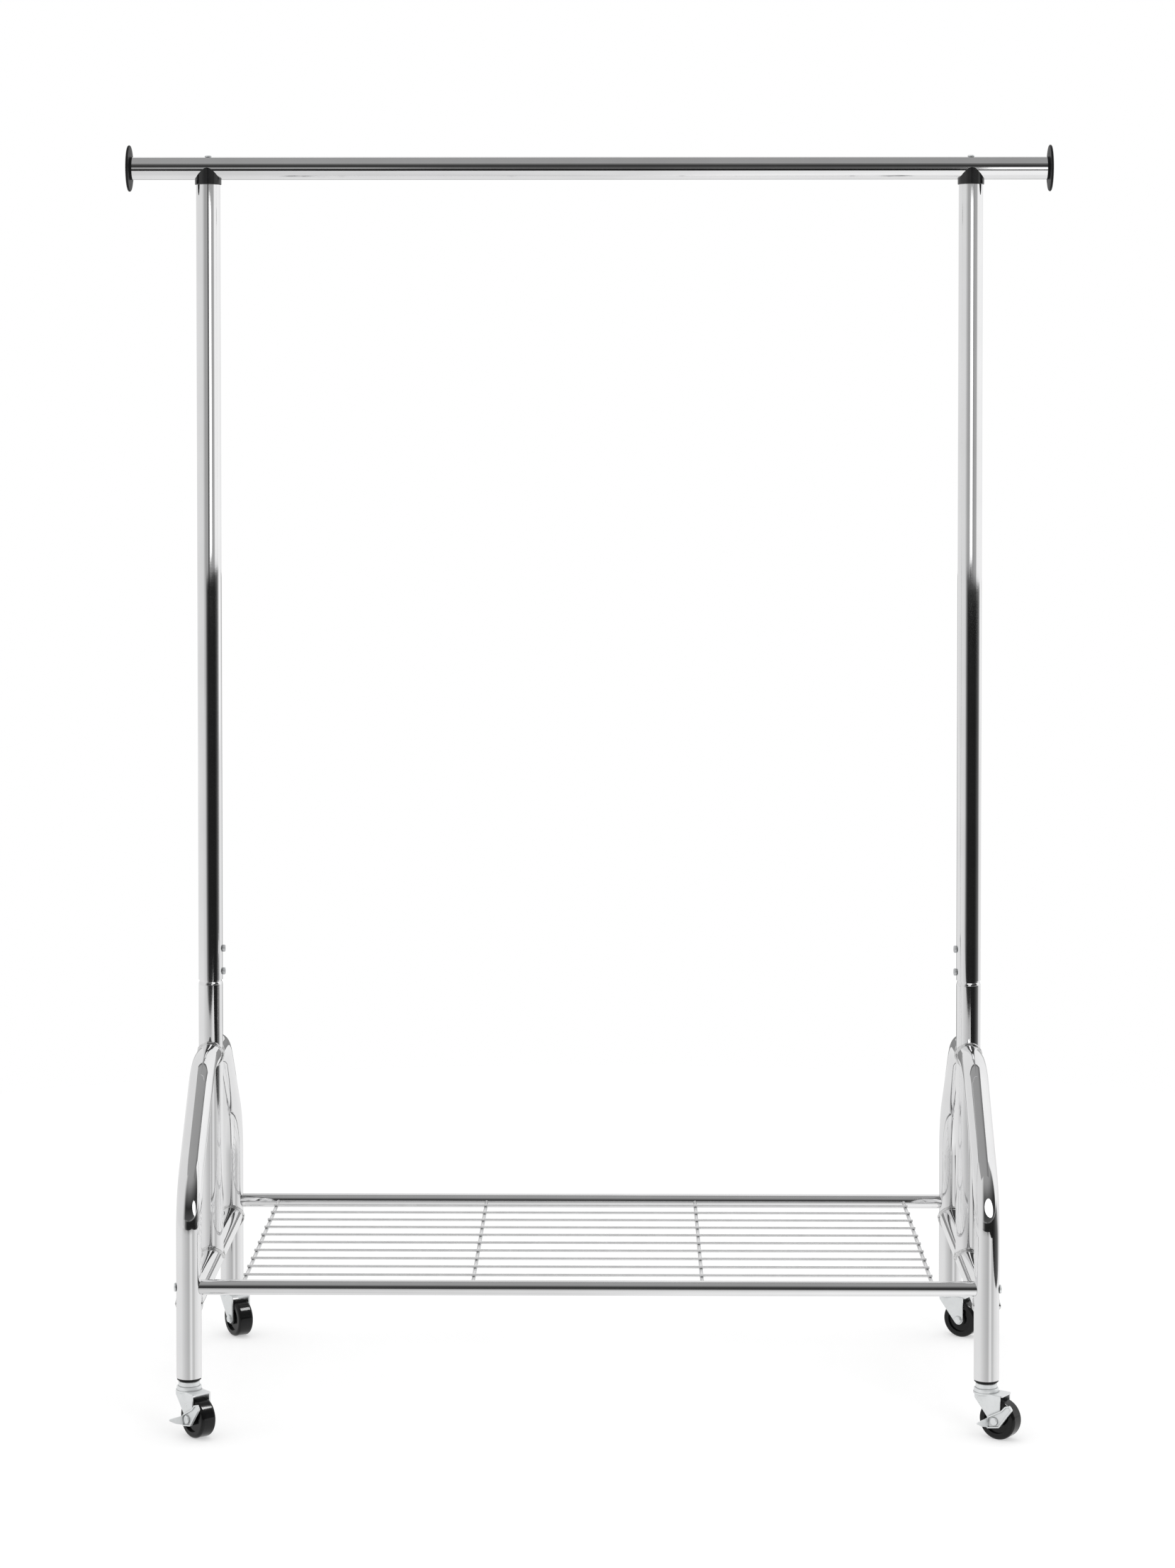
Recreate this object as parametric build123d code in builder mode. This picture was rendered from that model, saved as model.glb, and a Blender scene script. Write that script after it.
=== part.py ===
"""A rolling clothes rack: two chromed tube side frames, a hanging bar, a wire shelf and four swivel casters.

Millimetres, +Z up. The origin is on the floor, midway between the four legs. +X runs along the bar to the
right, +Y goes from the front legs to the rear ones.
"""

import os
from math import acos, atan2, cos, degrees, hypot, radians, sin, sqrt

from build123d import *

# Side frame tubes
TUBE_OD = 32.0
TUBE_WALL = 1.2
POST_SPACING = 1006.0
LEG_SPACING = 500.0
LEG_FOOT_Z = 72.0
RUNG_Z = 164.5
KNEE_Z = 300.0
SHOULDER_Z = 438.0
SHOULDER_REACH = 90.0
LEG_BEND_R = 100.0
WELD_GAP = 0.1

# Plug joint between the lower and the upper post
NECK_START_Z = 530.0
NECK_RISE = 4.5
NECK_GAP = 2.5
SPIGOT_CLEARANCE = 0.1
SPIGOT_LENGTH = 70.0
POST_SCREW_RISES = (10.7, 41.0)

# Hanging bar and its saddles
BAR_OD = 30.0
BAR_LENGTH = 1205.0
BAR_Z = 1611.0
SADDLE_OD = 35.0
SADDLE_FLOOR = 6.7
SADDLE_CROWN_R = 8.5
SADDLE_PLUG_LENGTH = 26.0
SADDLE_EDGE_R = 1.0
PLUG_CLEARANCE = 0.1
SEAT_GAP = 0.05

# Bar end caps
CAP_DISC_OD = 61.0
CAP_DISC_T = 3.2
CAP_RIM_R = 1.5
CAP_COLLAR_T = 3.0
CAP_PLUG_LENGTH = 24.0

# Shelf
RAIL_OD = 19.0
RAIL_WALL = 1.0
RAIL_Z = 186.0
RAIL_PLUG_LENGTH = 24.0
CROSS_WIRE_OD = 5.0
CROSS_WIRE_COUNT = 4
CROSS_WIRE_PITCH = 291.0
LONG_WIRE_OD = 3.5
LONG_WIRE_COUNT = 10
LONG_WIRE_PITCH = 44.5

# Screws, bolts and nuts
SCREW_D = 6.0
SCREW_CLEARANCE = 0.1
POST_SCREW_HEAD_OD = 9.5
POST_SCREW_HEAD_H = 3.6
POST_SCREW_GRIP = 9.0
BAR_SCREW_HEAD_OD = 9.0
BAR_SCREW_HEAD_H = 2.1
BAR_SCREW_TAIL = 2.0
NUT_FLATS = 10.0
NUT_H = 5.0
RAIL_BOLT_HEAD_OD = 11.0
RAIL_BOLT_HEAD_H = 2.6
RAIL_BOLT_BITE = 16.0
HEAD_EDGE_R = 1.2

# Casters
WHEEL_OD = 50.0
WHEEL_TREAD_W = 22.0
WHEEL_SHOULDER_R = 4.0
WHEEL_HUB_W = 23.4
WHEEL_HUB_OD = 17.0
WHEEL_RECESS_OD = 34.0
WHEEL_RECESS_DEPTH = 3.0
CASTER_TRAIL = 20.0
AXLE_D = 6.0
AXLE_HEAD_OD = 10.0
AXLE_HEAD_H = 3.0
AXLE_HEAD_EDGE_R = 1.4
RUNNING_CLEARANCE = 0.05
SIDE_CLEARANCE = 0.3
FORK_T = 2.0
FORK_TOP_Z = 57.0
FORK_END_R = 6.5
FORK_REAR_X = -9.5
FORK_REAR_Z = 51.0
FORK_LIP_X = 29.0
FORK_EDGE_R = 0.8
FORK_DISC_OD = 33.0
LOWER_RACE_OD = 31.4
LOWER_RACE_H = 4.8
LOWER_RACE_EDGE_R = 1.6
UPPER_RACE_OD = 27.0
UPPER_RACE_EDGE_R = 1.8
RACE_GAP = 0.25
STEM_D = 10.0
STEM_LENGTH = 30.0
STEM_COLLAR_OD = 19.0
STEM_COLLAR_H = 1.2
STEM_RIVET_OD = 15.0
STEM_RIVET_H = 2.2
SOCKET_FLANGE_OD = 30.6
SOCKET_FLANGE_T = 2.3
SOCKET_LENGTH = 36.0

# Brake levers of the front casters, measured from the axle in the wheel's plane
LEVER_T = 2.0
LEVER_HEEL = (-11.0, -10.2)
LEVER_BELLY = (7.0, -7.2)
LEVER_ARM_OUTER = (25.5, 17.5)
LEVER_ARM_TIP = (21.5, 22.5)
LEVER_ARM_INNER = (15.5, 21.0)
LEVER_CROOK = (10.0, 15.0)
LEVER_BACK = (-9.0, 4.7)
LEVER_CORNER_R = 2.0
LEVER_RIM_W = 1.6
LEVER_RIM_H = 1.2

# The brake's foot tongue: how far it reaches out of the lever's plate, and its edges above and below the axle
TONGUE_X = -8.5
TONGUE_SPLAY = 17.0
TONGUE_LENGTH = 20.5
TONGUE_ROOT = (-9.3, 3.4)
TONGUE_MIDDLE = (-6.2, 1.3)
TONGUE_TIP = (-2.2, -0.2)
TONGUE_CORNER_R = 0.7

# Where each caster stands, which way its wheel trails at rest (degrees about +Z from +X), and its brake
CASTERS = {
    "front_left": (-1, -1, -49.0, True),
    "front_right": (1, -1, -34.0, True),
    "rear_left": (-1, 1, -57.0, False),
    "rear_right": (1, 1, -33.0, False),
}

# Sizes that follow from the ones above
TUBE_R = TUBE_OD / 2
BORE_R = TUBE_R - TUBE_WALL
POST_X = POST_SPACING / 2
LEG_Y = LEG_SPACING / 2
COPE_R = TUBE_R + WELD_GAP
SPIGOT_R = BORE_R - SPIGOT_CLEARANCE
NECK_TOP_Z = NECK_START_Z + NECK_RISE
UPPER_POST_Z = NECK_TOP_Z + NECK_GAP
BAR_R = BAR_OD / 2
BAR_BORE_R = BAR_R - TUBE_WALL
SADDLE_Z = BAR_Z - BAR_R - SADDLE_FLOOR
SCREW_R = SCREW_D / 2
SCREW_HOLE_R = SCREW_R + SCREW_CLEARANCE
RAIL_R = RAIL_OD / 2
RAIL_BORE_R = RAIL_R - RAIL_WALL
LONG_WIRE_Z = RAIL_Z + (CROSS_WIRE_OD + LONG_WIRE_OD) / 2 + SEAT_GAP
CROSS_WIRE_SPAN = CROSS_WIRE_PITCH * (CROSS_WIRE_COUNT - 1)
WHEEL_R = WHEEL_OD / 2
FORK_INNER_Y = WHEEL_HUB_W / 2 + SIDE_CLEARANCE
FORK_OUTER_Y = FORK_INNER_Y + FORK_T
LEVER_INNER_Y = FORK_OUTER_Y + SIDE_CLEARANCE
LEVER_OUTER_Y = LEVER_INNER_Y + LEVER_T
SOCKET_Z = LEG_FOOT_Z - SOCKET_FLANGE_T
UPPER_RACE_TOP_Z = SOCKET_Z - STEM_COLLAR_H
UPPER_RACE_Z = FORK_TOP_Z + LOWER_RACE_H + RACE_GAP
FRONT_BACK = {"front": -1, "rear": 1}
LEFT_RIGHT = {"left": -1, "right": 1}
TO_BASE = (Align.CENTER, Align.CENTER, Align.MIN)
TO_TOP = (Align.CENTER, Align.CENTER, Align.MAX)


def write(part, node):
    """Labels a finished piece and writes it as its own file."""
    part.label = node
    export_step(part, f"parts/{node}.step")


def along_x(x, y, z):
    """A place whose own Z axis points along +X."""
    return Location((x, y, z), (0, 90, 0))


def make_leg(side, end):
    """A leg bent out of one tube: up from the caster, in at the knee, level into the post."""
    x = side * POST_X
    foot_y = end * LEG_Y
    with BuildPart() as leg:
        with BuildLine() as path:
            FilletPolyline(
                (x, foot_y, LEG_FOOT_Z),
                (x, foot_y, KNEE_Z),
                (x, end * SHOULDER_REACH, SHOULDER_Z),
                (x, 0, SHOULDER_Z),
                radius=LEG_BEND_R,
            )
        with BuildSketch(Plane(path.line @ 0, x_dir=(1, 0, 0), z_dir=path.line % 0)):
            Circle(TUBE_R)
            Circle(BORE_R, mode=Mode.SUBTRACT)
        sweep()
        with Locations((x, 0, SHOULDER_Z)):
            Cylinder(COPE_R, 2 * TUBE_OD, mode=Mode.SUBTRACT)
        with Locations(along_x(x, foot_y, RAIL_Z)):
            Cylinder(SCREW_HOLE_R, 2 * TUBE_OD, mode=Mode.SUBTRACT)
    return leg.part


def make_rung(side):
    """The level tube between a front and a rear leg, notched round both."""
    x = side * POST_X
    with BuildPart() as rung:
        with BuildSketch(Plane((x, 0, RUNG_Z), x_dir=(1, 0, 0), z_dir=(0, 1, 0))):
            Circle(TUBE_R)
            Circle(BORE_R, mode=Mode.SUBTRACT)
        extrude(amount=LEG_Y, both=True)
        with Locations((x, -LEG_Y, RUNG_Z), (x, LEG_Y, RUNG_Z)):
            Cylinder(COPE_R, 2 * TUBE_OD, mode=Mode.SUBTRACT)
    return rung.part


def make_lower_post(side):
    """The centre post of a side frame: notched on the rung, necked down to a spigot at its top."""
    x = side * POST_X
    spigot_top = UPPER_POST_Z + SPIGOT_LENGTH
    with BuildPart() as post:
        with BuildSketch(Plane((x, 0, 0), x_dir=(1, 0, 0), z_dir=(0, -1, 0))):
            with BuildLine():
                Line((TUBE_R, RUNG_Z), (TUBE_R, NECK_START_Z))
                TangentArc((TUBE_R, NECK_START_Z), (SPIGOT_R, NECK_TOP_Z), tangent=(0, 1))
                Polyline(
                    (SPIGOT_R, NECK_TOP_Z),
                    (SPIGOT_R, spigot_top),
                    (SPIGOT_R - TUBE_WALL, spigot_top),
                    (SPIGOT_R - TUBE_WALL, NECK_TOP_Z),
                    (BORE_R, NECK_START_Z),
                    (BORE_R, RUNG_Z),
                    (TUBE_R, RUNG_Z),
                )
            make_face()
        revolve(axis=Axis((x, 0, 0), (0, 0, 1)))
        with Locations(Location((x, 0, RUNG_Z), (90, 0, 0))):
            Cylinder(COPE_R, 2 * TUBE_OD, mode=Mode.SUBTRACT)
        with Locations([post_screw_place(side, rise) for rise in POST_SCREW_RISES]):
            Cylinder(SCREW_HOLE_R, TUBE_OD, align=TO_TOP, mode=Mode.SUBTRACT)
    return post.part


def make_upper_post(side):
    """The plain tube from the spigot joint up to the saddle."""
    x = side * POST_X
    with BuildPart() as post:
        with BuildSketch(Plane((x, 0, UPPER_POST_Z))):
            Circle(TUBE_R)
            Circle(BORE_R, mode=Mode.SUBTRACT)
        extrude(amount=SADDLE_Z - SEAT_GAP - UPPER_POST_Z)
        with Locations([post_screw_place(side, rise) for rise in POST_SCREW_RISES]):
            Cylinder(SCREW_HOLE_R, TUBE_OD, align=TO_TOP, mode=Mode.SUBTRACT)
    return post.part


def post_screw_place(side, rise):
    """Where a post screw's head sits: on the tube's inner side, its own Z axis pointing out of the tube."""
    return Location((side * (POST_X - TUBE_R), 0, UPPER_POST_Z + rise), (0, -90 * side, 0))


def make_saddle(side):
    """The moulded saddle under the bar, rising to a rounded crown at front and back, with a plug in the post."""
    x = side * POST_X
    with BuildPart() as saddle:
        with Locations((x, 0, SADDLE_Z)):
            Cylinder(SADDLE_OD / 2, BAR_Z - SADDLE_Z, align=TO_BASE)
        fillet(saddle.edges().group_by(Axis.Z)[0], SADDLE_EDGE_R)
        gable = 2 * SADDLE_OD
        gable_z = -SADDLE_CROWN_R - sqrt(2) * (gable / 2 - SADDLE_CROWN_R)
        with BuildSketch(Plane((x, 0, BAR_Z), x_dir=(1, 0, 0), z_dir=(0, -1, 0))):
            Rectangle(2 * SADDLE_OD, 2 * SADDLE_OD)
            with Locations(Location((0, gable_z), 45)):
                RectangleRounded(gable, gable, SADDLE_CROWN_R, mode=Mode.SUBTRACT)
        extrude(amount=SADDLE_OD, both=True, mode=Mode.SUBTRACT)
        with Locations((x, 0, SADDLE_Z)):
            Cylinder(BORE_R - PLUG_CLEARANCE, SADDLE_PLUG_LENGTH, align=TO_TOP)
        with Locations(along_x(x, 0, BAR_Z)):
            Cylinder(BAR_R + SEAT_GAP, 2 * SADDLE_OD, mode=Mode.SUBTRACT)
        with Locations((x, 0, BAR_Z)):
            Cylinder(SCREW_HOLE_R, BAR_Z - SADDLE_Z + SADDLE_PLUG_LENGTH, align=TO_TOP, mode=Mode.SUBTRACT)
    return saddle.part


def make_end_cap(side):
    """A flat disc with a collar against the bar's end and a plug inside it."""
    end_x = side * BAR_LENGTH / 2
    with BuildPart() as cap:
        with BuildSketch(Plane((end_x, 0, BAR_Z), z_dir=(side, 0, 0)).offset(CAP_COLLAR_T)):
            Circle(CAP_DISC_OD / 2)
        extrude(amount=CAP_DISC_T)
        fillet(cap.edges(), CAP_RIM_R)
        with BuildSketch(Plane((end_x, 0, BAR_Z), z_dir=(side, 0, 0)).offset(SEAT_GAP)):
            Circle(BAR_R)
        extrude(amount=CAP_COLLAR_T - SEAT_GAP)
        with BuildSketch(Plane((end_x, 0, BAR_Z), z_dir=(-side, 0, 0)).offset(-CAP_COLLAR_T)):
            Circle(BAR_BORE_R - PLUG_CLEARANCE)
        extrude(amount=CAP_PLUG_LENGTH + CAP_COLLAR_T)
    return cap.part


def make_bar():
    """The hanging bar, drilled up and down over each post."""
    with BuildPart() as bar:
        with BuildSketch(Plane((0, 0, BAR_Z), x_dir=(0, 1, 0), z_dir=(1, 0, 0))):
            Circle(BAR_R)
            Circle(BAR_BORE_R, mode=Mode.SUBTRACT)
        extrude(amount=BAR_LENGTH / 2, both=True)
        with Locations((-POST_X, 0, BAR_Z), (POST_X, 0, BAR_Z)):
            Cylinder(SCREW_HOLE_R, 2 * BAR_OD, mode=Mode.SUBTRACT)
    return bar.part


def make_screws(places, head_od, head_h, shank_length):
    """Round-headed screws, one at each place: the head above its own XY plane, the shank below it."""
    with BuildPart() as screws:
        with Locations(places):
            Cylinder(head_od / 2, head_h, align=TO_BASE)
            Cylinder(SCREW_R, shank_length, align=TO_TOP)
        head_tops = [e for e in screws.edges().filter_by(GeomType.CIRCLE) if is_head_top(e, places, head_od, head_h)]
        fillet(head_tops, HEAD_EDGE_R)
    return screws.part


def is_head_top(edge, places, head_od, head_h):
    """Whether an edge is the outer rim of a screw head standing at one of the places."""
    if abs(edge.radius - head_od / 2) > SEAT_GAP:
        return False
    tops = [(place * Location((0, 0, head_h))).position for place in places]
    return any((edge.arc_center - top).length < SEAT_GAP for top in tops)


def make_bar_nuts():
    """A hexagon nut under each saddle's plug, on the end of the bar screw."""
    top_z = SADDLE_Z - SADDLE_PLUG_LENGTH - SEAT_GAP
    with BuildPart() as nuts:
        with BuildSketch(Plane.XY.offset(top_z)):
            with Locations((-POST_X, 0), (POST_X, 0)):
                RegularPolygon(NUT_FLATS / 2, 6, major_radius=False)
                Circle(SCREW_R + RUNNING_CLEARANCE, mode=Mode.SUBTRACT)
        extrude(amount=-NUT_H)
    return nuts.part


def make_rail(end):
    """A shelf rail, notched round the legs that it stands between."""
    y = end * LEG_Y
    with BuildPart() as rail:
        with BuildSketch(Plane((0, y, RAIL_Z), x_dir=(0, 1, 0), z_dir=(1, 0, 0))):
            Circle(RAIL_R)
            Circle(RAIL_BORE_R, mode=Mode.SUBTRACT)
        extrude(amount=POST_X, both=True)
        with Locations((-POST_X, y, RAIL_Z), (POST_X, y, RAIL_Z)):
            Cylinder(COPE_R, 2 * RAIL_OD, mode=Mode.SUBTRACT)
    return rail.part


def make_rail_plugs():
    """The tapped plugs inside the rail ends, which the rail bolts pull against the legs."""
    length = RAIL_PLUG_LENGTH + TUBE_R
    with BuildPart() as plugs:
        for side in LEFT_RIGHT.values():
            for end in FRONT_BACK.values():
                foot = (side * POST_X, end * LEG_Y, RAIL_Z)
                with BuildSketch(Plane(foot, x_dir=(0, 1, 0), z_dir=(-side, 0, 0))):
                    Circle(RAIL_BORE_R - PLUG_CLEARANCE)
                    Circle(SCREW_R + RUNNING_CLEARANCE, mode=Mode.SUBTRACT)
                extrude(amount=length)
                with Locations(foot):
                    Cylinder(COPE_R, 2 * RAIL_OD, mode=Mode.SUBTRACT)
    return plugs.part


def make_cross_wires():
    """The thick wires across the shelf, from the front rail to the rear rail."""
    with BuildPart() as wires:
        with BuildSketch(Plane.XZ):
            with Locations((0, RAIL_Z)):
                with GridLocations(CROSS_WIRE_PITCH, 1, CROSS_WIRE_COUNT, 1):
                    Circle(CROSS_WIRE_OD / 2)
        extrude(amount=LEG_Y - RAIL_R - WELD_GAP, both=True)
    return wires.part


def make_long_wires():
    """The thin wires along the shelf, lying on the cross wires."""
    with BuildPart() as wires:
        with BuildSketch(Plane.YZ):
            with Locations((0, LONG_WIRE_Z)):
                with GridLocations(LONG_WIRE_PITCH, 1, LONG_WIRE_COUNT, 1):
                    Circle(LONG_WIRE_OD / 2)
        extrude(amount=(CROSS_WIRE_SPAN + CROSS_WIRE_OD) / 2, both=True)
    return wires.part


def make_socket():
    """The moulded socket in the foot of a leg, about the swivel axis at the origin."""
    with BuildPart() as socket:
        with Locations((0, 0, SOCKET_Z)):
            Cylinder(SOCKET_FLANGE_OD / 2, SOCKET_FLANGE_T - SEAT_GAP, align=TO_BASE)
        with Locations((0, 0, SOCKET_Z)):
            Cylinder(BORE_R - PLUG_CLEARANCE, SOCKET_LENGTH, align=TO_BASE)
            Cylinder(STEM_D / 2 + PLUG_CLEARANCE, SOCKET_LENGTH, align=TO_BASE, mode=Mode.SUBTRACT)
    return socket.part


def make_stem():
    """The caster's stem with its collar and the upper half of the swivel race, riveted over below the fork."""
    rivet_top = FORK_TOP_Z - FORK_T - SIDE_CLEARANCE
    shank_z = rivet_top - STEM_RIVET_H
    with BuildPart() as stem:
        with Locations((0, 0, UPPER_RACE_Z)):
            Cylinder(UPPER_RACE_OD / 2, UPPER_RACE_TOP_Z - UPPER_RACE_Z, align=TO_BASE)
        fillet(stem.edges().group_by(Axis.Z)[-1], UPPER_RACE_EDGE_R)
        with Locations((0, 0, UPPER_RACE_TOP_Z)):
            Cylinder(STEM_COLLAR_OD / 2, STEM_COLLAR_H - SEAT_GAP, align=TO_BASE)
        with Locations((0, 0, shank_z)):
            Cylinder(STEM_RIVET_OD / 2, STEM_RIVET_H, align=TO_BASE)
            Cylinder(STEM_D / 2, SOCKET_Z + STEM_LENGTH - shank_z, align=TO_BASE)
    return stem.part


def make_fork():
    """The pressed fork: a top plate with the lower half of the race, and two tapering cheeks."""
    axle = (CASTER_TRAIL, WHEEL_R)
    rise = FORK_REAR_Z - axle[1]
    run = FORK_REAR_X - axle[0]
    tangent = degrees(atan2(rise, run)) + degrees(acos(FORK_END_R / hypot(rise, run)))
    heel = (
        axle[0] + FORK_END_R * cos(radians(tangent)),
        axle[1] + FORK_END_R * sin(radians(tangent)),
    )
    front_x = axle[0] + FORK_END_R
    plate_z = FORK_TOP_Z - FORK_T
    with BuildPart() as fork:
        with BuildSketch(Plane.XZ):
            with BuildLine():
                CenterArc(axle, FORK_END_R, tangent, 360 - tangent)
                Polyline(
                    (front_x, axle[1]),
                    (front_x, FORK_TOP_Z),
                    (FORK_REAR_X, FORK_TOP_Z),
                    (FORK_REAR_X, FORK_REAR_Z),
                    heel,
                )
            make_face()
        extrude(amount=FORK_OUTER_Y, both=True)
        fillet(fork.edges().filter_by(Axis.X).group_by(Axis.Z)[-1], FORK_T)
        with Locations((CASTER_TRAIL, 0, plate_z)):
            Box(4 * WHEEL_R, 2 * FORK_INNER_Y, 2 * WHEEL_R, align=TO_TOP, mode=Mode.SUBTRACT)
        with BuildSketch(Plane.XY.offset(plate_z)):
            Circle(FORK_DISC_OD / 2)
            with Locations((FORK_LIP_X / 2, 0)):
                RectangleRounded(FORK_LIP_X, 2 * FORK_INNER_Y, FORK_T)
        extrude(amount=FORK_T)
        with BuildPart(mode=Mode.PRIVATE) as race:
            with Locations((0, 0, FORK_TOP_Z)):
                Cylinder(LOWER_RACE_OD / 2, LOWER_RACE_H, align=TO_BASE)
            fillet(race.edges().group_by(Axis.Z)[-1], LOWER_RACE_EDGE_R)
        add(race.part)
        with Locations((0, 0, FORK_TOP_Z)):
            Cylinder(STEM_D / 2 + RUNNING_CLEARANCE, 4 * LOWER_RACE_H, mode=Mode.SUBTRACT)
        with Locations(Location((*axle[:1], 0, axle[1]), (90, 0, 0))):
            Cylinder(AXLE_D / 2 + RUNNING_CLEARANCE, 4 * FORK_OUTER_Y, mode=Mode.SUBTRACT)
    return fork.part


def make_wheel():
    """The moulded wheel: a crowned tread, a recessed web and a hub that runs on the axle."""
    half_tread = WHEEL_TREAD_W / 2
    half_hub = WHEEL_HUB_W / 2
    bore_r = AXLE_D / 2 + RUNNING_CLEARANCE
    web = half_tread - WHEEL_RECESS_DEPTH
    with BuildPart() as wheel:
        with BuildSketch(Plane((CASTER_TRAIL, 0, WHEEL_R), x_dir=(0, 1, 0), z_dir=(1, 0, 0))) as section:
            with Locations((0, (WHEEL_R + bore_r) / 2)):
                Rectangle(WHEEL_TREAD_W, WHEEL_R - bore_r)
            fillet(section.vertices().group_by(Axis.Z)[-1], WHEEL_SHOULDER_R)
            with Locations((0, (WHEEL_HUB_OD / 2 + bore_r) / 2)):
                Rectangle(2 * half_hub, WHEEL_HUB_OD / 2 - bore_r)
            recess_r = (WHEEL_RECESS_OD + WHEEL_HUB_OD) / 4
            recess_h = (WHEEL_RECESS_OD - WHEEL_HUB_OD) / 2
            recess_y = (web + half_hub) / 2
            with Locations((-recess_y, recess_r), (recess_y, recess_r)):
                Rectangle(half_hub - web, recess_h, mode=Mode.SUBTRACT)
        revolve(axis=Axis((CASTER_TRAIL, 0, WHEEL_R), (0, 1, 0)))
    return wheel.part


def make_axle(braked):
    """The axle rivet, long enough on the near side for the brake lever where there is one."""
    near_y = LEVER_OUTER_Y if braked else FORK_OUTER_Y
    near = -(near_y + SEAT_GAP)
    far = FORK_OUTER_Y + SEAT_GAP
    centre = (CASTER_TRAIL, 0, WHEEL_R)
    with BuildPart() as axle:
        with BuildSketch(Plane(centre, z_dir=(0, 1, 0)).offset(near - AXLE_HEAD_H)):
            Circle(AXLE_HEAD_OD / 2)
        extrude(amount=AXLE_HEAD_H)
        with BuildSketch(Plane(centre, z_dir=(0, 1, 0)).offset(far)):
            Circle(AXLE_HEAD_OD / 2)
        extrude(amount=AXLE_HEAD_H)
        ends = axle.edges().group_by(Axis.Y)
        fillet(ends[0] + ends[-1], AXLE_HEAD_EDGE_R)
        with BuildSketch(Plane(centre, z_dir=(0, 1, 0)).offset(near)):
            Circle(AXLE_D / 2)
        extrude(amount=far - near)
    return axle.part


def make_lever():
    """The rocking brake lever outside the near cheek: a plate with a raised rim on the axle, and a foot tongue."""
    with BuildPart() as lever:
        with BuildSketch(Plane((CASTER_TRAIL, -LEVER_INNER_Y, WHEEL_R), x_dir=(1, 0, 0), z_dir=(0, -1, 0))) as plate:
            with BuildLine():
                Polyline(
                    LEVER_HEEL,
                    LEVER_BELLY,
                    LEVER_ARM_OUTER,
                    LEVER_ARM_TIP,
                    LEVER_ARM_INNER,
                    LEVER_CROOK,
                    LEVER_BACK,
                    close=True,
                )
            make_face()
            fillet(plate.vertices(), LEVER_CORNER_R)
        extrude(amount=LEVER_T + LEVER_RIM_H)
        with BuildSketch(Plane((CASTER_TRAIL, -LEVER_OUTER_Y, WHEEL_R), x_dir=(1, 0, 0), z_dir=(0, -1, 0))):
            offset(plate.sketch_local, amount=-LEVER_RIM_W)
        extrude(amount=LEVER_RIM_H, mode=Mode.SUBTRACT)
        add(make_tongue())
        with Locations(Location((CASTER_TRAIL, -LEVER_OUTER_Y, WHEEL_R), (90, 0, 0))):
            Cylinder(AXLE_D / 2 + RUNNING_CLEARANCE, 4 * LEVER_T, mode=Mode.SUBTRACT)
    return lever.part


def make_tongue():
    """The foot tongue, bent outwards from the heel end of the brake lever's plate and tapering to its tip."""
    outwards = (-sin(radians(TONGUE_SPLAY)), -cos(radians(TONGUE_SPLAY)), 0)
    backwards = (-cos(radians(TONGUE_SPLAY)), sin(radians(TONGUE_SPLAY)), 0)
    root = Plane((CASTER_TRAIL + TONGUE_X, -LEVER_INNER_Y, WHEEL_R), x_dir=outwards, z_dir=backwards)
    with BuildPart(mode=Mode.PRIVATE) as tongue:
        with BuildSketch(root) as outline:
            with BuildLine():
                Polyline(
                    (0, TONGUE_ROOT[0]),
                    (0, TONGUE_ROOT[1]),
                    (TONGUE_LENGTH * 0.6, TONGUE_MIDDLE[1]),
                    (TONGUE_LENGTH, TONGUE_TIP[1]),
                    (TONGUE_LENGTH, TONGUE_TIP[0]),
                    (TONGUE_LENGTH * 0.6, TONGUE_MIDDLE[0]),
                    close=True,
                )
            make_face()
            fillet(outline.vertices(), TONGUE_CORNER_R)
        extrude(amount=LEVER_T / 2, both=True)
    return tongue.part


def write_frame():
    """The side frames, their posts and the hanging bar."""
    for hand, side in LEFT_RIGHT.items():
        for row, end in FRONT_BACK.items():
            write(make_leg(side, end), f"leg_{row}_{hand}")
        write(make_rung(side), f"foot_rung_{hand}")
        write(make_lower_post(side), f"lower_post_{hand}")
        write(make_upper_post(side), f"upper_post_{hand}")
        write(make_saddle(side), f"bar_saddle_{hand}")
        write(make_end_cap(side), f"bar_end_cap_{hand}")
    write(make_bar(), "hanging_bar")


def write_fasteners():
    """The screws, bolts and nuts that hold the posts, the bar and the rails."""
    sides = LEFT_RIGHT.values()
    post_places = [post_screw_place(side, rise) for side in sides for rise in POST_SCREW_RISES]
    write(make_screws(post_places, POST_SCREW_HEAD_OD, POST_SCREW_HEAD_H, POST_SCREW_GRIP), "post_screws")
    bar_places = [Location((side * POST_X, 0, BAR_Z + BAR_R)) for side in sides]
    bar_shank = BAR_Z + BAR_R - SADDLE_Z + SADDLE_PLUG_LENGTH + NUT_H + BAR_SCREW_TAIL
    write(make_screws(bar_places, BAR_SCREW_HEAD_OD, BAR_SCREW_HEAD_H, bar_shank), "bar_screws")
    write(make_bar_nuts(), "bar_nuts")
    bolt_places = [
        Location((side * (POST_X + TUBE_R), end * LEG_Y, RAIL_Z), (0, 90 * side, 0))
        for side in sides
        for end in FRONT_BACK.values()
    ]
    write(make_screws(bolt_places, RAIL_BOLT_HEAD_OD, RAIL_BOLT_HEAD_H, TUBE_OD + RAIL_BOLT_BITE), "rail_bolts")


def write_shelf():
    """The two rails, the plugs in their ends and the wire deck."""
    for row, end in FRONT_BACK.items():
        write(make_rail(end), f"shelf_rail_{row}")
    write(make_rail_plugs(), "rail_plugs")
    write(make_cross_wires(), "shelf_cross_wires")
    write(make_long_wires(), "shelf_long_wires")


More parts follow.
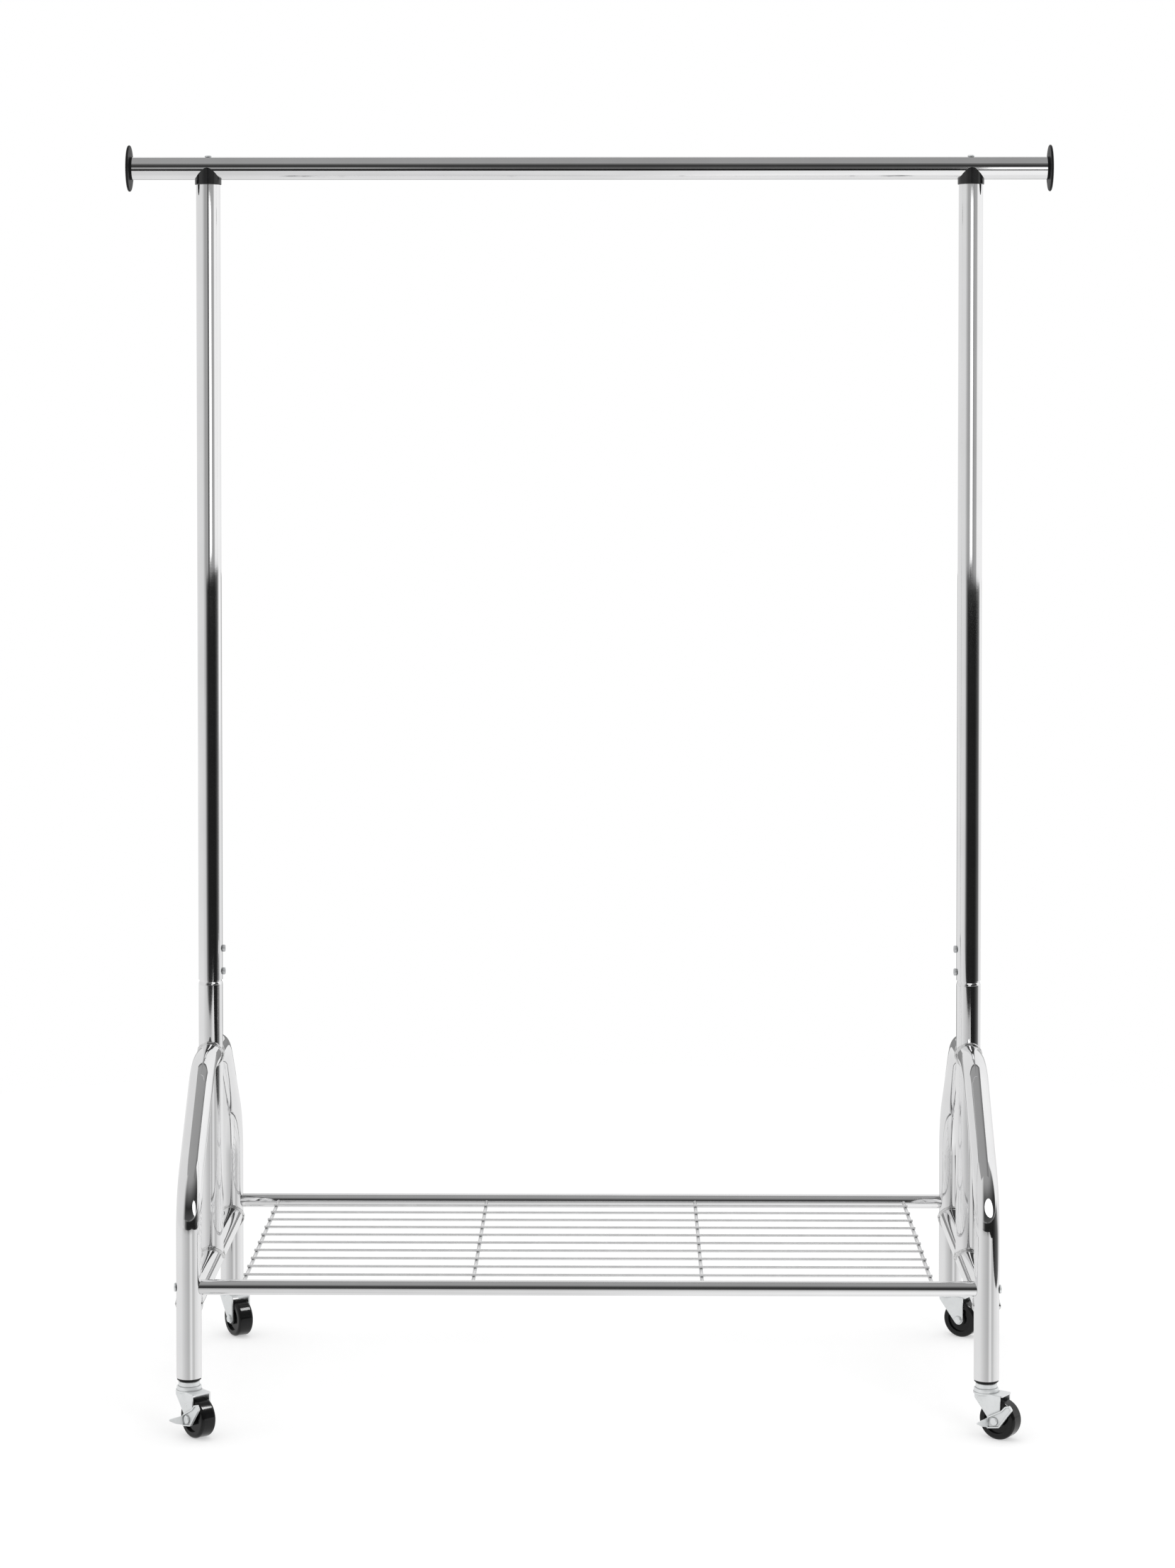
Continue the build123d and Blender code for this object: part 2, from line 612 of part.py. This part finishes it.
def write_casters():
    """Four swivel casters, the front two with brake levers."""
    socket, stem, fork, wheel, lever = make_socket(), make_stem(), make_fork(), make_wheel(), make_lever()
    axles = {braked: make_axle(braked) for braked in (True, False)}
    for corner, (side, end, trail_angle, braked) in CASTERS.items():
        place = Location((side * POST_X, end * LEG_Y, 0), (0, 0, trail_angle))
        write(socket.moved(place), f"caster_socket_{corner}")
        write(stem.moved(place), f"caster_stem_{corner}")
        write(fork.moved(place), f"caster_fork_{corner}")
        write(axles[braked].moved(place), f"caster_axle_{corner}")
        write(wheel.moved(place), f"caster_wheel_{corner}")
        if braked:
            write(lever.moved(place), f"brake_lever_{corner}")


os.makedirs("parts", exist_ok=True)
write_frame()
write_fasteners()
write_shelf()
write_casters()
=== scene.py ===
"""The looks of the rolling clothes rack: camera, studio, materials and weld beads.

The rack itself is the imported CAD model. Lengths are in metres.
"""

from math import cos, pi, radians, sin, sqrt

import bpy
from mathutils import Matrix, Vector, noise


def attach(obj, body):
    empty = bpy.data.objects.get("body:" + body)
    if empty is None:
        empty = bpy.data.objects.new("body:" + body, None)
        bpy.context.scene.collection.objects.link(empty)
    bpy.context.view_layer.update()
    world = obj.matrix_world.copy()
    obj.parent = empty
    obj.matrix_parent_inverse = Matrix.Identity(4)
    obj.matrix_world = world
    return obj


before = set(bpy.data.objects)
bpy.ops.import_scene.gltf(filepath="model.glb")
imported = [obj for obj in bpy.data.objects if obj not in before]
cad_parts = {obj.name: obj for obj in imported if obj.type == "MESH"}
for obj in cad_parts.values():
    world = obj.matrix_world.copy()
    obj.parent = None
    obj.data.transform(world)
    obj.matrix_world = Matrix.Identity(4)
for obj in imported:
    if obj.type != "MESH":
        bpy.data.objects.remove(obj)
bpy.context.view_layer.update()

# Sizes that the weld beads share with the CAD model
TUBE_R = 0.016
POST_X = 0.503
LEG_Y = 0.250
RUNG_Z = 0.1645
SHOULDER_Z = 0.438

# A weld bead: its radius, how far its middle stands off the tube, and how uneven it is
BEAD_R = 0.0021
BEAD_STANDOFF = 0.4 * BEAD_R
BEAD_UNEVENNESS = 0.45
BEAD_LUMPS_PER_METRE = 160.0
BEAD_POINTS = 72

# The camera, as found from the photograph's perspective: millimetres for the lens, degrees for the angles
CAMERA_PLACE = (0.044, -4.747, 1.293)
CAMERA_DIP = 1.72
CAMERA_TURN = 0.558
LENS = 82.47
SENSOR_WIDTH = 36.0
FRAME_SHIFT = -0.17
SIGHT_RANGE = 60.0

# The pale floor that the camera sees
FLOOR_R = 2.3
FLOOR_POINTS = 96
FLOOR_GLOW = 0.44

# The studio that the chrome mirrors: where the white paper ends, how far the dark floor goes beyond it,
# and how far that lies below the pale floor
PAPER_FRONT_Y = -2.95
PAPER_RIGHT_X = 1.3
PAPER_BACK_Y = 2.3
DARK_FRONT_Y = -9.0
DARK_LEFT_X = -8.0
DARK_RIGHT_X = 9.0
DARK_SIDE_END_Y = 2.5
DARK_BACK_Y = 9.0
DARK_BACK_HALF_X = 8.0
BELOW_FLOOR = 0.002

# The low wall round the dark floor, with its two arcs in degrees of heading, and the ceiling
WALL_DISTANCE = 6.0
WALL_HEIGHT = 0.8
WALL_STEPS = 48
WALL_ARCS = ((-40, 105), (130, 230))
CEILING_Z = 3.2
CEILING_HALF_X = 1.9
CEILING_HALF_Y = 1.5

# Strength of the world's even light on surfaces that don't mirror
EVEN_LIGHT = 0.80

# Metal colours, the chrome's draw lines per metre, and the painted shade that darkens the zinc's narrow
# gaps
CHROME_TINT = (0.90, 0.90, 0.905)
LINES_CROSSWISE = 900.0
LINES_LENGTHWISE = 2.0
ZINC_TINT = (0.95, 0.97, 0.975)
# Colour of the painted shade in the zinc's narrow gaps
GAP_PAINTED_SHADE = (0.10, 0.11, 0.11, 1)
GAP_WIDTH = 0.005

WHITE = (1, 1, 1, 1)


class Nodes:
    """A short way to lay out a material's or a world's node tree."""

    def __init__(self, tree):
        self.tree = tree
        tree.nodes.clear()

    def add(self, kind, settings=None, **inputs):
        """Makes a node, sets its properties, and fills its inputs by name, or by number as in i0."""
        node = self.tree.nodes.new("ShaderNode" + kind)
        for name, value in (settings or {}).items():
            setattr(node, name, value)
        for name, value in inputs.items():
            self.put(node, name.replace("_", " "), value)
        return node

    def put(self, node, name, value):
        """Links a socket to an input, or gives the input a plain value."""
        by_number = name[0] == "i" and name[1:].isdigit()
        socket = node.inputs[int(name[1:]) if by_number else name]
        if isinstance(value, bpy.types.NodeSocket):
            self.tree.links.new(value, socket)
        else:
            socket.default_value = value

    def math(self, operation, first, second):
        """The result of an operation on two values."""
        return self.add("Math", {"operation": operation}, i0=first, i1=second).outputs[0]

    def ramp(self, factor, stops):
        """A colour ramp through (place, grey or colour) stops."""
        node = self.add("ValToRGB", Fac=factor)
        elements = node.color_ramp.elements
        while len(elements) < len(stops):
            elements.new(1.0)
        for element, (place, colour) in zip(elements, stops):
            element.position = place
            element.color = (colour, colour, colour, 1) if isinstance(colour, float) else (*colour, 1)
        return node.outputs["Color"]

    def blend(self, factor, first, second):
        """Goes from the first colour to the second one as the factor rises."""
        node = self.add("Mix", {"data_type": "RGBA"}, i0=factor, i6=first, i7=second)
        return node.outputs[2]

    def noise(self, per_metre, detail, rough=0.55):
        """Noise in object coordinates, with its cells per metre along each axis or along all three."""
        scale = (per_metre,) * 3 if isinstance(per_metre, float) else per_metre
        coords = self.add("TexCoord").outputs["Object"]
        scaled = self.add("Mapping", Vector=coords, Scale=scale).outputs["Vector"]
        node = self.add("TexNoise", Vector=scaled, Scale=1.0, Detail=detail, Roughness=rough)
        return node.outputs["Fac"]

    def spread(self, factor, span, to):
        """A value between the two in to, which follows a factor over its span."""
        node = self.add(
            "MapRange",
            Value=factor,
            From_Min=span[0],
            From_Max=span[1],
            To_Min=to[0],
            To_Max=to[1],
        )
        return node.outputs[0]

    def bump(self, height, strength, distance):
        """Normals tilted by a height."""
        return self.add("Bump", Height=height, Strength=strength, Distance=distance).outputs["Normal"]

    def surface(self, shader):
        """Makes a shader node the material's surface."""
        self.add("OutputMaterial", Surface=shader.outputs[0])


def new_material(name):
    """A material and the node tree to lay out in it."""
    material = bpy.data.materials.new(name)
    material.use_nodes = True
    return material, Nodes(material.node_tree)


def dimmed(colour, share):
    """A colour with only a share of its brightness."""
    return tuple(part * share for part in colour)


def chrome(name, along):
    """Polished chrome plate with faint draw lines along the tube and slight handling haze."""
    material, n = new_material(name)
    lines = tuple(LINES_LENGTHWISE if axis == along else LINES_CROSSWISE for axis in "XYZ")
    streaks = n.noise(lines, detail=4.0)
    haze = n.noise(9.0, detail=5.0, rough=0.6)
    specks = n.noise(420.0, detail=2.0)
    grain = n.math("ADD", n.math("MULTIPLY", streaks, 0.7), n.math("MULTIPLY", specks, 0.3))
    shader = n.add(
        "BsdfPrincipled",
        Base_Color=n.ramp(haze, [(0.3, dimmed(CHROME_TINT, 0.94)), (0.7, CHROME_TINT)]),
        Metallic=1.0,
        Roughness=n.spread(haze, (0.3, 0.75), to=(0.03, 0.07)),
        Normal=n.bump(grain, strength=0.010, distance=0.0004),
    )
    n.surface(shader)
    return material


def zinc(name, tint=ZINC_TINT, metal=0.5, rough=(0.26, 0.38)):
    """Bright zinc plate: a pale, cool, slightly cloudy satin metal, with painted shade darkening its narrow
    gaps.
    """
    material, n = new_material(name)
    cloud = n.noise(60.0, detail=5.0, rough=0.62)
    spangle = n.noise(420.0, detail=3.0)
    plate = n.ramp(cloud, [(0.28, dimmed(tint, 0.9)), (0.66, tint)])
    # Painted shade: an ambient-occlusion mask darkens the colour wherever a gap is narrow
    openness = n.add("AmbientOcclusion", {"samples": 8}, Distance=GAP_WIDTH).outputs["AO"]
    shader = n.add(
        "BsdfPrincipled",
        Base_Color=n.blend(n.ramp(openness, [(0.25, 0.0), (0.8, 1.0)]), GAP_PAINTED_SHADE, plate),
        Metallic=metal,
        Roughness=n.spread(cloud, (0.3, 0.7), to=rough),
        Normal=n.bump(spangle, strength=0.05, distance=0.0003),
    )
    n.surface(shader)
    return material


def black_plastic(name, base=0.010, worn=0.024, rough=(0.18, 0.30), grain=0.10, gloss=0.5):
    """Moulded black plastic with a fine eggshell grain and paler rubbed patches."""
    material, n = new_material(name)
    patch = n.noise(38.0, detail=5.0, rough=0.6)
    eggshell = n.noise(900.0, detail=2.0)
    shader = n.add(
        "BsdfPrincipled",
        Base_Color=n.ramp(patch, [(0.35, (base, base, base * 1.05)), (0.8, (worn, worn, worn * 1.04))]),
        Roughness=n.spread(patch, (0.3, 0.75), to=rough),
        Specular_IOR_Level=gloss,
        Normal=n.bump(eggshell, strength=grain, distance=0.0003),
    )
    n.surface(shader)
    return material


def weld_metal(name):
    """Plated weld: chrome over an uneven bead, so the lumps still show."""
    material, n = new_material(name)
    lumps = n.noise(330.0, detail=3.0)
    shader = n.add(
        "BsdfPrincipled",
        Base_Color=n.ramp(lumps, [(0.3, 0.62), (0.7, 0.82)]),
        Metallic=1.0,
        Roughness=n.spread(lumps, (0.3, 0.7), to=(0.08, 0.2)),
        Normal=n.bump(lumps, strength=0.35, distance=0.0008),
    )
    n.surface(shader)
    return material


def paint_nodes():
    """Gives every CAD node its material, chosen by the longest start that fits the node's name."""
    chrome_x = chrome("chrome_along_bar", "X")
    chrome_y = chrome("chrome_across", "Y")
    chrome_z = chrome("chrome_upright", "Z")
    wire = zinc("plated_wire", tint=(0.86, 0.86, 0.865), metal=0.45, rough=(0.14, 0.24))
    screw = zinc("plated_screw", tint=(0.66, 0.67, 0.68))
    fork = zinc("bright_zinc")
    lever = zinc("lever_zinc", tint=(0.93, 0.95, 0.955))
    gloss_black = black_plastic("gloss_black", base=0.008, worn=0.018, rough=(0.10, 0.18), grain=0.05)
    cap_black = black_plastic("cap_black", rough=(0.40, 0.55), gloss=0.12)
    socket_black = black_plastic("socket_black", rough=(0.3, 0.45), gloss=0.25)
    wheel_black = black_plastic(
        "wheel_black", base=0.005, worn=0.011, rough=(0.11, 0.17), grain=0.04, gloss=0.3
    )
    by_start = {
        "leg_": chrome_z,
        "foot_rung": chrome_y,
        "lower_post": chrome_z,
        "upper_post": chrome_z,
        "hanging_bar": chrome_x,
        "shelf_rail": chrome_x,
        "shelf_long": wire,
        "shelf_cross": wire,
        "post_screws": screw,
        "bar_screws": fork,
        "bar_nuts": screw,
        "rail_": fork,
        "bar_saddle": gloss_black,
        "bar_end_cap": cap_black,
        "caster_socket": socket_black,
        "caster_stem": fork,
        "caster_fork": fork,
        "caster_axle": fork,
        "caster_wheel": wheel_black,
        "brake_lever": lever,
    }
    for name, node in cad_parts.items():
        start = max((s for s in by_start if name.startswith(s)), key=len)
        node.data.materials.clear()
        node.data.materials.append(by_start[start])


def bead(name, points, material):
    """A weld bead: a closed, slightly uneven tube along a loop of points."""
    curve = bpy.data.curves.new(name, "CURVE")
    curve.dimensions = "3D"
    curve.bevel_depth = BEAD_R
    curve.bevel_resolution = 3
    spline = curve.splines.new("POLY")
    spline.points.add(len(points) - 1)
    spline.use_cyclic_u = True
    for place, point in zip(spline.points, points):
        place.co = (*point, 1)
        place.radius = 1.0 + BEAD_UNEVENNESS * noise.noise(Vector(point) * BEAD_LUMPS_PER_METRE)
    loop = bpy.data.objects.new(name, curve)
    bpy.context.scene.collection.objects.link(loop)
    mesh = bpy.data.meshes.new_from_object(loop)
    bpy.data.objects.remove(loop)
    piece = bpy.data.objects.new(name, mesh)
    bpy.context.scene.collection.objects.link(piece)
    for face in mesh.polygons:
        face.use_smooth = True
    mesh.materials.clear()
    mesh.materials.append(material)
    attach(piece, "rack")


def saddle_loop(centre, run, across):
    """The line where a tube running along one axis ends on the side of an equal tube along another axis."""
    third = run.cross(across)
    points = []
    for step in range(BEAD_POINTS):
        turn = 2 * pi * step / BEAD_POINTS
        wide = TUBE_R * sin(turn)
        depth = sqrt(max(TUBE_R**2 - wide**2, 0)) + BEAD_STANDOFF
        points.append(centre + run * depth + third * wide + across * (TUBE_R * cos(turn)))
    return points


def add_welds():
    """Beads where the legs meet the post, the rung meets the legs, and the post stands on the rung."""
    metal = weld_metal("plated_weld")
    up = Vector((0, 0, 1))
    along = Vector((0, 1, 0))
    for hand, side in (("left", -1), ("right", 1)):
        post = Vector((side * POST_X, 0, SHOULDER_Z))
        rung = Vector((side * POST_X, 0, RUNG_Z))
        for row, end in (("front", -1), ("rear", 1)):
            leg = Vector((side * POST_X, end * LEG_Y, RUNG_Z))
            bead(f"weld_{row}_{hand}_shoulder", saddle_loop(post, along * end, up), metal)
            bead(f"weld_{row}_{hand}_rung", saddle_loop(leg, along * -end, up), metal)
        bead(f"weld_{hand}_post", saddle_loop(rung, up, along), metal)


def by_heading(stops):
    """Ramp stops from degrees round the studio: 0 is towards the camera, positive to the right."""
    return [(0.5 + degrees / 360, tone) for degrees, tone in stops]


def by_tilt(stops):
    """Ramp stops from degrees above eye level."""
    return [(0.5 + 0.5 * sin(radians(degrees)), tone) for degrees, tone in stops]


def heading_of(n, x, y):
    """Which way a direction or a place lies, as a share of a turn with the camera's side at one half."""
    angle = n.math("ARCTAN2", x, n.math("MULTIPLY", y, -1.0))
    return n.math("ADD", n.math("DIVIDE", angle, 2 * pi), 0.5)


def paper_tone(n, turn, height):
    """Paper underfoot: pale close by, greyer far off towards the camera, with a sheen from the soft box."""
    far_stops = [
        (-180, 0.80),
        (-100, 0.82),
        (-67, 0.80),
        (-40, 0.66),
        (-16, 0.55),
        (8, 0.46),
        (18, 0.70),
        (30, 0.84),
        (40, 0.58),
        (52, 0.53),
        (67, 0.76),
        (113, 0.92),
        (180, 0.85),
    ]
    near_stops = [(-60, 0.80), (-9, 0.70), (0, 0.80), (9, 0.98), (60, 0.85)]
    farness = n.ramp(height, by_tilt([(-35, 0.0), (-13, 1.0)]))
    return n.blend(farness, n.ramp(turn, by_heading(near_stops)), n.ramp(turn, by_heading(far_stops)))


def wall_tone(n, turn):
    """Walls at eye level: pale all round, and grey behind the camera with a dark gap in the middle."""
    stops = [
        (-180, 0.80),
        (-80, 0.76),
        (-53, 0.74),
        (-40, 0.54),
        (-28, 0.38),
        (-4, 0.38),
        (-2.5, 0.10),
        (4, 0.10),
        (10, 0.24),
        (34, 0.38),
        (56, 0.42),
        (63, 0.95),
        (113, 0.98),
        (180, 0.85),
    ]
    return n.ramp(turn, by_heading(stops))


def room_tone(n, height):
    """The room above eye level towards the camera: darker at first, then lighter up to the ceiling."""
    stops = [
        (5, 0.085),
        (14, 0.05),
        (21, 0.025),
        (29, 0.07),
        (37, 0.13),
        (45, 0.22),
        (53, 0.30),
        (62, 0.34),
    ]
    return n.ramp(height, by_tilt(stops))


def mirrored_studio(n):
    """What a reflected ray finds in the world: paper below, walls at eye level, a dark room above."""
    direction = n.add("TexCoord").outputs["Generated"]
    x, y, z = n.add("SeparateXYZ", Vector=direction).outputs
    height = n.math("ADD", n.math("MULTIPLY", z, 0.5), 0.5)
    turn = heading_of(n, x, y)
    below = n.ramp(height, by_tilt([(-9, 1.0), (-5, 0.0)]))
    pale = n.blend(below, wall_tone(n, turn), paper_tone(n, turn, height))
    room_level = n.ramp(height, by_tilt([(4, 0.0), (7, 1.0)]))
    room_reach = n.ramp(turn, by_heading([(-44, 0.0), (-26, 1.0), (84, 1.0), (92, 0.0)]))
    return n.blend(n.math("MULTIPLY", room_level, room_reach), pale, room_tone(n, height))


def studio_world():
    """White to the camera, an even light on surfaces, and a toned studio in reflections."""
    world = bpy.data.worlds.new("studio")
    bpy.context.scene.world = world
    world.use_nodes = True
    n = Nodes(world.node_tree)
    path = n.add("LightPath")
    even = n.add("Background", Color=WHITE, Strength=EVEN_LIGHT)
    mirror = n.add("Background", Color=mirrored_studio(n), Strength=1.0)
    white = n.add("Background", Color=WHITE, Strength=1.0)
    shiny = n.math("MAXIMUM", path.outputs["Is Glossy Ray"], path.outputs["Is Transmission Ray"])
    lit = n.add("MixShader", Fac=shiny, i1=even.outputs[0], i2=mirror.outputs[0])
    seen = n.add("MixShader", Fac=path.outputs["Is Camera Ray"], i1=lit.outputs[0], i2=white.outputs[0])
    n.add("OutputWorld", Surface=seen.outputs[0])


def surround_mesh():
    """The dark floor in front, at the right and far behind, the ceiling, and the low wall's two arcs."""
    level_quads = [
        (DARK_LEFT_X, DARK_FRONT_Y, DARK_RIGHT_X, PAPER_FRONT_Y, 0.0),
        (PAPER_RIGHT_X, PAPER_FRONT_Y, DARK_RIGHT_X, DARK_SIDE_END_Y, 0.0),
        (-DARK_BACK_HALF_X, PAPER_BACK_Y, DARK_BACK_HALF_X, DARK_BACK_Y, 0.0),
        (-CEILING_HALF_X, -CEILING_HALF_Y, CEILING_HALF_X, CEILING_HALF_Y, CEILING_Z),
    ]
    corners = []
    faces = []
    for left, front, right, back, z in level_quads:
        first = len(corners)
        corners += [(left, front, z), (right, front, z), (right, back, z), (left, back, z)]
        faces.append(tuple(range(first, first + 4)))
    for start, end in WALL_ARCS:
        for step in range(WALL_STEPS + 1):
            heading = radians(start + (end - start) * step / WALL_STEPS)
            foot = (WALL_DISTANCE * sin(heading), -WALL_DISTANCE * cos(heading))
            corners += [(*foot, 0.0), (*foot, WALL_HEIGHT)]
            if step:
                last = len(corners)
                faces.append((last - 4, last - 2, last - 1, last - 3))
    mesh = bpy.data.meshes.new("dark_surround")
    mesh.from_pydata(corners, [], faces)
    return mesh


def surround_material():
    """Dark towards the camera and dim behind, each fading into the pale studio, with a grey ceiling."""
    material, n = new_material("dark_surround")
    x, y, z = n.add("SeparateXYZ", Vector=n.add("TexCoord").outputs["Object"]).outputs
    stops = [
        (-180, 0.24),
        (-169, 0.30),
        (-158, 0.60),
        (-148, 0.85),
        (-45, 0.72),
        (-37, 0.50),
        (-31, 0.25),
        (-24, 0.12),
        (-18, 0.04),
        (-10, 0.016),
        (55, 0.014),
        (68, 0.04),
        (82, 0.10),
        (91, 0.16),
        (98, 0.40),
        (110, 0.85),
        (148, 0.85),
        (158, 0.60),
        (169, 0.30),
        (180, 0.24),
    ]
    around = n.ramp(heading_of(n, x, y), by_heading(stops))
    across = n.math("DIVIDE", n.math("ADD", x, CEILING_HALF_X), 2 * CEILING_HALF_X)
    ceiling = n.ramp(across, [(0.0, 0.36), (0.76, 0.33), (1.0, 0.15)])
    back_edge = n.ramp(n.math("DIVIDE", y, CEILING_HALF_Y), [(0.8, 0.0), (0.9, 1.0)])
    ceiling = n.blend(back_edge, ceiling, (0.12, 0.12, 0.12, 1))
    overhead = n.math("GREATER_THAN", z, CEILING_Z / 2)
    n.surface(n.add("Emission", Color=n.blend(overhead, around, ceiling), Strength=1.0))
    return material


def add_dark_surround():
    """What lies round the paper, seen in reflections only."""
    surround = bpy.data.objects.new("dark_surround", surround_mesh())
    surround.location.z = -BELOW_FLOOR
    bpy.context.scene.collection.objects.link(surround)
    surround.data.materials.append(surround_material())
    for ray in ("camera", "diffuse", "transmission", "volume_scatter", "shadow"):
        setattr(surround, "visible_" + ray, False)


def soft_box(name, place, aim, size, watts, mirrored=True, shape="ELLIPSE", only=None):
    """A soft lamp that the camera doesn't see. Only a mirrored one shows in glossy surfaces.

    With name starts in only, it lights just the nodes whose names start so.
    """
    lamp = bpy.data.lights.new(name, "AREA")
    lamp.shape = shape
    lamp.size, lamp.size_y = size
    lamp.energy = watts
    holder = bpy.data.objects.new(name, lamp)
    holder.location = place
    holder.visible_camera = False
    holder.visible_glossy = mirrored
    holder.rotation_euler = (Vector(aim) - Vector(place)).to_track_quat("-Z", "Y").to_euler()
    bpy.context.scene.collection.objects.link(holder)
    if only:
        lit = bpy.data.collections.new(name + "_lights")
        for node_name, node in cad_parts.items():
            if node_name.startswith(only):
                lit.objects.link(node)
        holder.light_linking.receiver_collection = lit


def add_lamps():
    """Two lamps that light everything, and five that each give one group of pieces its highlights."""
    soft_box("key", (1.25, -2.4, 1.48), aim=(0, 0, 0.6), size=(1.2, 1.05), watts=12.5, mirrored=False)
    soft_box("top", (0.0, 0.3, 4.4), aim=(0, 0, 0), size=(3.2, 3.2), watts=24.0, mirrored=False)
    soft_box(
        "post_panel",
        (0.88, -3.3, 1.365),
        aim=(0.88, 0, 1.365),
        size=(1.45, 0.83),
        watts=4.2,
        shape="RECTANGLE",
        only=("upper_", "lower_"),
    )
    soft_box(
        "bar_panel",
        (1.15, -3.3, 1.15),
        aim=(1.15, 0, 1.15),
        size=(0.6, 1.3),
        watts=2.8,
        shape="RECTANGLE",
        only=("hanging_",),
    )
    soft_box(
        "knee_glint",
        (0.95, -1.07, 0.68),
        aim=(0.95, 0, 0.68),
        size=(1.6, 0.45),
        watts=2.8,
        only=("leg_front",),
    )
    soft_box(
        "neck_glint",
        (0.8, -1.5, 2.0),
        aim=(0.8, 0, 0.5),
        size=(1.6, 1.0),
        watts=4.7,
        only=("lower_",),
    )
    soft_box(
        "wheel_glint",
        (1.75, -0.12, 2.8),
        aim=(0, 0, 0),
        size=(0.9, 0.9),
        watts=55.0,
        only=("caster_wheel",),
    )


def add_floor():
    """A round pale floor that shows white to the camera where no shadow falls."""
    mesh = bpy.data.meshes.new("floor")
    turns = [2 * pi * k / FLOOR_POINTS for k in range(FLOOR_POINTS)]
    ring = [(FLOOR_R * cos(turn), FLOOR_R * sin(turn), 0.0) for turn in turns]
    mesh.from_pydata(ring, [], [list(range(FLOOR_POINTS))])
    floor = bpy.data.objects.new("floor", mesh)
    bpy.context.scene.collection.objects.link(floor)
    material, n = new_material("pale_floor")
    mottle = n.noise(6.0, detail=3.0)
    matt = n.add("BsdfDiffuse", Color=n.ramp(mottle, [(0.3, 0.64), (0.7, 0.66)]))
    to_camera = n.add("LightPath").outputs["Is Camera Ray"]
    glow = n.add("Emission", Color=WHITE, Strength=n.math("MULTIPLY", to_camera, FLOOR_GLOW))
    n.surface(n.add("AddShader", i0=matt.outputs[0], i1=glow.outputs[0]))
    mesh.materials.append(material)
    floor.visible_glossy = False


def add_camera():
    """The photograph's viewpoint: nearly level, a little right of the middle, with a lowered frame."""
    data = bpy.data.cameras.new("camera")
    data.lens = LENS
    data.sensor_width = SENSOR_WIDTH
    data.shift_y = FRAME_SHIFT
    data.clip_end = SIGHT_RANGE
    camera = bpy.data.objects.new("camera", data)
    camera.location = CAMERA_PLACE
    camera.rotation_euler = (radians(90 - CAMERA_DIP), 0, radians(CAMERA_TURN))
    bpy.context.scene.collection.objects.link(camera)
    bpy.context.scene.camera = camera


bpy.context.scene.view_settings.view_transform = "Standard"
paint_nodes()
add_welds()
studio_world()
add_floor()
add_dark_surround()
add_lamps()
add_camera()
